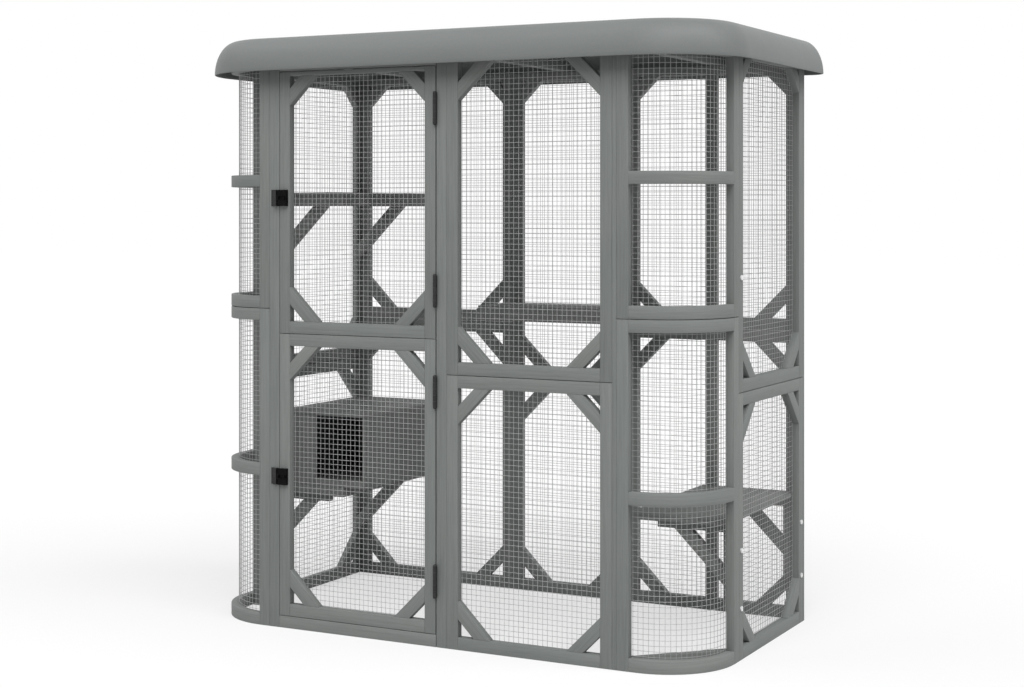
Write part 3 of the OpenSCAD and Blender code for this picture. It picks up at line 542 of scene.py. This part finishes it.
stain = stained_timber("timber_stained", STAIN)
shelf_stain = stained_timber("timber_shelf", SHELF_STAIN)
plain_stain = stained_timber("timber_plain", STAIN, boards=False)
wire_zinc = galvanised("wire_galvanised", WIRE_LEVEL, rough=0.42)
bolt_zinc = galvanised("bolt_zinc", BOLT_LEVEL, rough=0.3)
black = powder_coat("steel_black", STEEL_LEVEL, sheen=0.35)
latch_black = powder_coat("latch_black", LATCH_LEVEL, sheen=0.06)
roof_skin = moulded_roof("roof_moulded", ROOF_COLOUR)


def cad_finish(name):
    """The material of a CAD node's own mesh."""
    if name.endswith(("latch_case", "latch_tongue")):
        return latch_black
    if "hinge" in name or "latch" in name:
        return black
    if name == "panel_bolts":
        return bolt_zinc
    if "mesh" in name:
        return wire_zinc
    return roof_skin if name == "roof" else plain_stain


for name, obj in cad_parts.items():
    for material_slot in obj.material_slots:
        material_slot.material = cad_finish(name)


# Flat walls and doors

def seam_ends(name, z0, z1):
    """Draws stacked fixed frames back a little at the line between them, which reads as a dark line."""
    if "door" in name:
        return z0, z1
    return (z0 + SEAM_GAP, z1) if "upper" in name else (z0, z1 - SEAM_GAP)


def stiles(t, w, z0, z1, place):
    for u in (0, w - STILE):
        t.box(u, 0, z0, STILE, BOARD, z1 - z0, place)


def rails(t, w, z0, z1, top_rail, place):
    for z, h in ((z0, STILE), (z1 - top_rail, top_rail)):
        t.box(STILE + FIT, 0, z, w - 2 * STILE - 2 * FIT, BOARD, h, place, "u")


def panel(name, side, body="frame", top=PLAIN_TOP):
    """The boards of a wall frame. Returns what its net needs."""
    top_rail, top_leg = top
    lo, hi = box_mm(name)
    place = wall_place(side, lo, hi)
    w = hi.x - lo.x if side in ("front", "back") else hi.y - lo.y
    z0, z1 = seam_ends(name, lo.z, hi.z)
    t = Timber(name + "_boards")
    stiles(t, w, z0, z1, place)
    rails(t, w, z0, z1, top_rail, place)
    for z, sz, leg in ((z0 + STILE, 1, LEG), (z1 - top_rail, -1, top_leg)):
        t.brace(STILE, z, 1, sz, leg, place)
        t.brace(w - STILE, z, -1, sz, leg, place)
    t.done(stain, "frame_timber", name, body)
    return place, w, z0, z1, top_rail, top_leg


def nets(cad_node, panels, body="frame"):
    wires = Wires(cad_node)
    for place, w, z0, z1, top_rail, top_leg in panels:
        wires.net(place, STILE, w - STILE, z0 + STILE, z1 - top_rail, (LEG, LEG, top_leg, top_leg))
    wires.done(body)


for door, top in (("upper_door", DOOR_TOP), ("lower_door", PLAIN_TOP)):
    nets(door + "_mesh", [panel(door + "_frame", "front", door, top)], door)
for part, top in (("main_upper", FRONT_TOP), ("main_lower", PLAIN_TOP)):
    nets(part + "_mesh", [panel(part + "_frame", "front", top=top)])
WALL_SIDES = {"left_side": "left", "right_side": "right", "back_left": "back", "back_middle": "back"}
for wall, side in WALL_SIDES.items():
    upper = panel(wall + "_upper_frame", side, top=WALL_TOP)
    lower = panel(wall + "_lower_frame", side)
    nets(wall + "_meshes", [upper, lower])


def back_right_panel(name, top, wires):
    """The boards and nets of one of the back's right frames, which have one more upright."""
    top_rail, top_leg = top
    lo, hi = box_mm(name)
    place = wall_place("back", lo, hi)
    w = hi.x - lo.x
    z0, z1 = seam_ends(name, lo.z, hi.z)
    mid = w - UPRIGHT_AT - STILE
    t = Timber(name + "_boards")
    stiles(t, w, z0, z1, place)
    t.box(mid, 0, z0 + STILE + FIT, STILE, BOARD, z1 - z0 - STILE - top_rail - 2 * FIT, place)
    rails(t, w, z0, z1, top_rail, place)
    for u, su in ((STILE, 1), (w - STILE, -1)):
        t.brace(u, z0 + STILE, su, 1, LEG, place)
        t.brace(u, z1 - top_rail, su, -1, top_leg, place)
    t.done(stain, "frame_timber", name)
    wires.net(place, STILE, mid, z0 + STILE, z1 - top_rail, (LEG, 0, top_leg, 0))
    wires.net(place, mid + STILE, w - STILE, z0 + STILE, z1 - top_rail, (0, LEG, 0, top_leg))


back_right_wires = Wires("back_right_meshes")
back_right_panel("back_right_upper_frame", WALL_TOP, back_right_wires)
back_right_panel("back_right_lower_frame", PLAIN_TOP, back_right_wires)
back_right_wires.done()


# Rounded corners

def corner(hand, part, top_rail):
    """A corner frame with its net. The left corner's curved rails lap its side stile."""
    name = f"{hand}_corner_{part}_frame"
    lapped = hand == "left"
    front, side = (0.0, LAP_RUN) if lapped else (FRONT_RUN, 0.0)
    reach = side + STILE if lapped else side
    lo, hi = box_mm(name)
    place = corner_place(hand, lo, hi)
    z0, z1 = seam_ends(name, lo.z, hi.z)
    mid = MIDDLE_RAILS[part]
    t = Timber(name + "_boards")
    t.box(-front - STILE, -CORNER_R, z0, STILE - FIT, BOARD, z1 - z0, place)
    x = CORNER_R - BOARD - (CURVED_T + FIT if lapped else 0)
    gap = 0 if lapped else FIT
    t.box(x, side + gap, z0, BOARD, STILE - gap, z1 - z0, place)
    for z, h in ((z0, STILE), (mid, STILE), (z1 - top_rail, top_rail)):
        t.rail(z, h, front, reach, place)
    t.done(stain, "frame_timber", name)
    wires = Wires(f"{hand}_corner_{part}_mesh")
    wires.bay(place, z0 + STILE, mid, front, reach)
    wires.bay(place, mid + STILE, z1 - top_rail, front, reach)
    wires.done()


def corner_tie_bar():
    """A flat bar across the right corner at the floor."""
    place = corner_place("right", *box_mm("right_corner_lower_frame"))
    reach, band, slope = CORNER_R - CURVED_T - 2 * FIT, BOARD * math.sqrt(2), math.sqrt(0.5)
    t = Timber("corner_tie_bar_board")
    t.prism([(0, -reach), (reach, 0), (reach, band), (-band, -reach)], 0, STILE,
            lambda u, d, z: place(u, z, d), (slope, slope))
    t.done(stain, "frame_timber", "corner_tie_bar")


for hand in ("right", "left"):
    corner(hand, "upper", FRONT_TOP[0])
    corner(hand, "lower", STILE)
corner_tie_bar()


# Posts, header and sill

def single(name, along):
    lo, hi = box_mm(name)
    d = hi - lo
    t = Timber(name + "_board")
    t.box(lo.x, lo.y, lo.z, d.x, d.y, d.z, along=along)
    t.done(stain, "frame_timber", name)


for name in ("front_left_post", "front_middle_post", "front_narrow_post", "back_right_filler"):
    single(name, "z")
for name in ("door_header", "door_sill"):
    single(name, "u")


# Shelves

def planks(t, lo, hi, along, gap=PLANK_GAP):
    """A deck made of planks laid side by side."""
    d = hi - lo
    step = (d.y if along == "u" else d.x) / PLANKS
    for i in range(PLANKS):
        if along == "u":
            t.box(lo.x, lo.y + i * step + gap / 2, lo.z, d.x, step - gap, d.z, along="u", ease=PLANK_EASE)
        else:
            t.box(lo.x + i * step + gap / 2, lo.y, lo.z, step - gap, d.y, d.z, along="t", ease=PLANK_EASE)


def plank_shelf(name, along, gap=PLANK_GAP):
    lo, hi = box_mm(name)
    t = Timber(name + "_planks")
    planks(t, lo, hi, along, gap)
    t.done(shelf_stain, "shelf_timber", name)


def railed_shelf(name, free_left):
    """A deck on rails along its front and its free side."""
    lo, hi = box_mm(name)
    rail_h = hi.z - lo.z - DECK - FIT
    side_x = lo.x if free_left else hi.x - BOARD
    t = Timber(name + "_planks")
    planks(t, Vector((lo.x, lo.y, hi.z - DECK)), hi, "t")
    t.box(lo.x, lo.y, lo.z, hi.x - lo.x, BOARD, rail_h, along="u")
    t.box(side_x, lo.y + BOARD + FIT, lo.z, BOARD, hi.y - lo.y - BOARD - FIT, rail_h, along="t")
    t.done(shelf_stain, "shelf_timber", name)


plank_shelf("nest_platform", "t")
plank_shelf("back_shelf", "u")
railed_shelf("upper_shelf", free_left=False)
railed_shelf("right_platform", free_left=True)


# Brackets

def bracket(t, x, sx, y, top_z, arm_h, reach, leg, upright_w=0.0):
    """An arm and a brace in the plane across a side wall. The brace stands on the wall or on an upright."""
    place = lambda u, d, z: Vector((x + sx * u, y + d, z)) / 1000
    t.box(FIT, 0, top_z - arm_h, reach - FIT, BOARD, arm_h - FIT, place, "u")
    if upright_w:
        t.box(FIT, 0, top_z - arm_h - UPRIGHT_H, upright_w - FIT, BOARD, UPRIGHT_H - FIT, place)
    t.brace(upright_w, top_z - arm_h, 1, -1, leg, place)


def arms_y(shelf_front):
    """Where the front and the rear arm under a shelf start: behind its front rail, and at the back wall."""
    back = box_mm("back_left_upper_frame")[0].y
    return shelf_front + BOARD + 2 * FIT, back - BOARD - FIT


def left_brackets():
    wall = box_mm("left_side_upper_frame")[1].x
    shelf_lo, shelf_hi = box_mm("upper_shelf")
    nest_underside = box_mm("nest_platform")[0].z
    shelf_arm = shelf_hi.x - wall - BOARD - 2 * FIT
    t = Timber("left_shelf_bracket_boards")
    for y, nest_leg in zip(arms_y(shelf_lo.y), NEST_LEGS):
        bracket(t, wall, 1, y, shelf_hi.z - DECK, SHELF_ARM_H, shelf_arm, SHELF_LEG)
        bracket(t, wall, 1, y, nest_underside, NEST_ARM_H, NEST_ARM, nest_leg)
    t.done(stain, "frame_timber", "left_shelf_brackets")


def right_brackets():
    wall = box_mm("right_side_upper_frame")[0].x
    lo, hi = box_mm("right_platform")
    t = Timber("right_platform_bracket_boards")
    for y in arms_y(lo.y):
        bracket(t, wall, -1, y, hi.z - DECK, PLATFORM_ARM_H, PLATFORM_ARM, PLATFORM_LEG, UPRIGHT_W)
    t.done(stain, "frame_timber", "right_platform_brackets")


left_brackets()
right_brackets()


# Nest box

def nest_box():
    """Four boards round the entrance, then back, left side, the right side's two boards, and floor."""
    lo, hi = box_mm("nest_box")
    d = hi - lo
    entrance = hi.x - WALL - ENTRANCE_W
    joint = lo.x + NEST_PANEL
    depth, half = d.y - 2 * WALL, d.z / 2
    boards = [
        (lo.x, lo.y, lo.z, joint - lo.x - PANEL_GAP, WALL, d.z, "z"),
        (joint + PANEL_GAP, lo.y, lo.z, entrance - joint - 2 * PANEL_GAP, WALL, d.z, "z"),
        (entrance - PANEL_GAP, lo.y, lo.z, hi.x - entrance + PANEL_GAP, WALL, ENTRANCE_SILL, "u"),
        (hi.x - WALL, lo.y, lo.z + ENTRANCE_SILL, WALL, WALL, d.z - ENTRANCE_SILL, "z"),
        (lo.x, hi.y - WALL, lo.z, d.x, WALL, d.z, "u"),
        (lo.x, lo.y + WALL, lo.z, WALL, depth, d.z, "t"),
        (hi.x - WALL, lo.y + WALL, lo.z, WALL, depth, half - PANEL_GAP, "t"),
        (hi.x - WALL, lo.y + WALL, lo.z + half + PANEL_GAP, WALL, depth, half - PANEL_GAP, "t"),
        (lo.x + WALL, lo.y + WALL, lo.z, d.x - 2 * WALL, depth, WALL, "t"),
    ]
    t = Timber("nest_box_panels")
    for *corner_and_size, along in boards:
        t.box(*corner_and_size, along=along, ease=PANEL_EASE)
    t.done(shelf_stain, "shelf_timber", "nest_box")


nest_box()
plank_shelf("nest_lid", "t", LID_GAP)


# Roof

def roof_joists():
    """Boards on edge across the frames, sloped at both ends to follow the roof."""
    lo, hi = box_mm("roof_joists")
    end_z = lo.z + JOIST_END_H
    outline = [(lo.y, lo.z), (hi.y, lo.z), (hi.y, end_z), (hi.y - SHOULDER, hi.z), (lo.y + SHOULDER, hi.z),
               (lo.y, end_z)]
    t = Timber("roof_joist_boards")
    for x in JOISTS_X:
        t.prism(outline, 0, JOIST_W, lambda u, d, z: Vector((x + d, u, z)) / 1000, (1, 0))
    t.done(stain, "frame_timber", "roof_joists")


def roof_outline(half, inset):
    """The roof's outline in plan, drawn in by inset: wide curves at the front and tight ones at the back."""
    hw, hd = half.x - inset, half.y - inset
    rf, rb = ROOF_FRONT_R - inset, max(ROOF_TIGHT_R, ROOF_BACK_R - inset)
    pts = []
    for cx, cy, r, start, n in ((-hw + rf, -hd + rf, rf, 180, ROOF_FRONT_STEPS),
                                (hw - rf, -hd + rf, rf, 270, ROOF_FRONT_STEPS),
                                (hw - rb, hd - rb, rb, 0, ROOF_BACK_STEPS),
                                (-hw + rb, hd - rb, rb, 90, ROOF_BACK_STEPS)):
        for i in range(n + 1):
            a = math.radians(start + 90 * i / n)
            pts.append((cx + r * math.cos(a), cy + r * math.sin(a)))
    return pts


def roof_sections(edge_z, top_z):
    """The shell's section as (inset, height): down the outer skin, round the lip and up the inner skin."""
    skins = []
    for skin in (0.0, SKIN):
        points = []
        for i in range(SHOULDER_STEPS + 1):
            a = math.radians(90 - SHOULDER_TURN * i / SHOULDER_STEPS)
            inset = skin + (SHOULDER - skin) * (1 - math.cos(a))
            points.append((inset, edge_z + (top_z - edge_z - skin) * math.sin(a)))
        skins.append(points)
    lip = [(LIP_EDGE, edge_z + LIP_RISE), (LIP_FOOT, edge_z), (SKIN - LIP_EDGE, edge_z + LIP_RISE)]
    return skins[0] + lip + skins[1][::-1]


def roof():
    lo, hi = box_mm("roof")
    verts, faces = [], []
    sections = roof_sections(lo.z, hi.z)
    n = len(roof_outline(hi, 0))
    for inset, z in sections:
        verts += [(x / 1000, y / 1000, z / 1000) for x, y in roof_outline(hi, inset)]
    for k in range(len(sections) - 1):
        for i in range(n):
            j = (i + 1) % n
            faces.append((k * n + i, (k + 1) * n + i, (k + 1) * n + j, k * n + j))
    faces.append(tuple(range(n)))
    faces.append(tuple((len(sections) - 1) * n + i for i in range(n - 1, -1, -1)))
    mesh = shell("roof_shell", verts, faces, ROOF_SHARP)
    settle("roof_shell", mesh, "frame", roof_skin, ["roof"])


roof_joists()
roof()


# Hinge pins

def hinge_pins():
    """Pins turned from one profile, with domed ends above and below each hinge."""
    profile = PIN_TIP + PIN_SHANK + [(r, HINGE_H - h) for r, h in reversed(PIN_TIP)]
    axis = Vector((0, 0, 1))
    a = axis.orthogonal().normalized()
    b = axis.cross(a)
    verts, faces = [], []
    for z in HINGES_Z:
        foot = Vector((HINGE_X, HINGE_Y, z - HINGE_H / 2))
        faces += tube_faces(len(verts), len(profile), PIN_SIDES)
        for r, h in profile:
            for k in range(PIN_SIDES):
                t = 2 * math.pi * k / PIN_SIDES
                verts.append(tuple((foot + axis * h + (a * math.cos(t) + b * math.sin(t)) * r) / 1000))
    mesh = shell("hinge_pin_tips", verts, faces, PIN_SHARP)
    settle("hinge_pin_tips", mesh, "frame", black, ["hinge_pins"])


hinge_pins()


# Floor and studio

def seen_directly(nt):
    """1 for camera, glossy and transmission rays."""
    path = node(nt, "ShaderNodeLightPath")
    first = node(nt, "ShaderNodeMath", operation="MAXIMUM")
    nt.links.new(path.outputs["Is Camera Ray"], first.inputs[0])
    nt.links.new(path.outputs["Is Glossy Ray"], first.inputs[1])
    second = node(nt, "ShaderNodeMath", operation="MAXIMUM")
    nt.links.new(first.outputs[0], second.inputs[0])
    nt.links.new(path.outputs["Is Transmission Ray"], second.inputs[1])
    return second.outputs[0]


def lit_or_seen(nt, kind, lit, seen):
    """Uses one shader to light the part, and another where the surface itself is seen."""
    choose = node(nt, "ShaderNodeMixShader")
    nt.links.new(seen_directly(nt), choose.inputs[0])
    nt.links.new(lit.outputs[0], choose.inputs[1])
    nt.links.new(seen.outputs[0], choose.inputs[2])
    nt.links.new(choose.outputs[0], node(nt, kind).inputs["Surface"])


def pale_floor():
    r = FLOOR_REACH
    mesh = bpy.data.meshes.new("floor")
    mesh.from_pydata([(-r, -r, 0), (r, -r, 0), (r, r, 0), (-r, r, 0)], [], [(0, 1, 2, 3)])
    floor = bpy.data.objects.new("floor", mesh)
    bpy.context.scene.collection.objects.link(floor)
    m = bpy.data.materials.new("floor_pale")
    m.use_nodes = True
    nt = m.node_tree
    nt.nodes.clear()
    bounce = node(nt, "ShaderNodeBsdfDiffuse", Color=(FLOOR_BOUNCE, FLOOR_BOUNCE, FLOOR_BOUNCE, 1))
    surface = node(nt, "ShaderNodeBsdfDiffuse", Color=(FLOOR_SEEN, FLOOR_SEEN, FLOOR_SEEN, 1))
    glow = node(nt, "ShaderNodeEmission", Color=(1, 1, 1, 1), Strength=FLOOR_GLOW)
    both = node(nt, "ShaderNodeAddShader")
    nt.links.new(surface.outputs[0], both.inputs[0])
    nt.links.new(glow.outputs[0], both.inputs[1])
    lit_or_seen(nt, "ShaderNodeOutputMaterial", bounce, both)
    mesh.materials.append(m)


def studio():
    world = bpy.data.worlds.new("studio")
    bpy.context.scene.world = world
    world.use_nodes = True
    nt = world.node_tree
    nt.nodes.clear()
    light = node(nt, "ShaderNodeBackground", Color=(1, 1, 1, 1), Strength=STUDIO_LIGHT)
    white = node(nt, "ShaderNodeBackground", Color=(1, 1, 1, 1), Strength=STUDIO_SEEN)
    lit_or_seen(nt, "ShaderNodeOutputWorld", light, white)


pale_floor()
studio()


# Suns and camera

def aim(direction):
    return Vector(direction).to_track_quat("-Z", "Y").to_euler()


def sun(name, direction, strength):
    light = bpy.data.lights.new(name, "SUN")
    light.energy = strength
    light.angle = math.radians(SUN_SPREAD)
    lamp = bpy.data.objects.new(name, light)
    lamp.rotation_euler = aim(direction)
    bpy.context.scene.collection.objects.link(lamp)


def level_camera():
    """A level camera whose picture is shifted, so that upright edges stay parallel."""
    lens = bpy.data.cameras.new("camera")
    lens.sensor_width = SENSOR
    lens.lens = LENS
    lens.shift_y = SHIFT_Y
    camera = bpy.data.objects.new("camera", lens)
    camera.location = CAMERA_AT
    camera.rotation_euler = aim(CAMERA_AIM)
    bpy.context.scene.collection.objects.link(camera)
    bpy.context.scene.camera = camera


sun("key_front", direction=(-0.25, 0.75, -0.95), strength=1.9)
sun("key_right", direction=(-0.85, 0.05, -0.95), strength=1.5)
sun("fill_left", direction=(0.8, 0.35, -0.9), strength=0.6)
level_camera()
bpy.context.scene.view_settings.view_transform = "Standard"
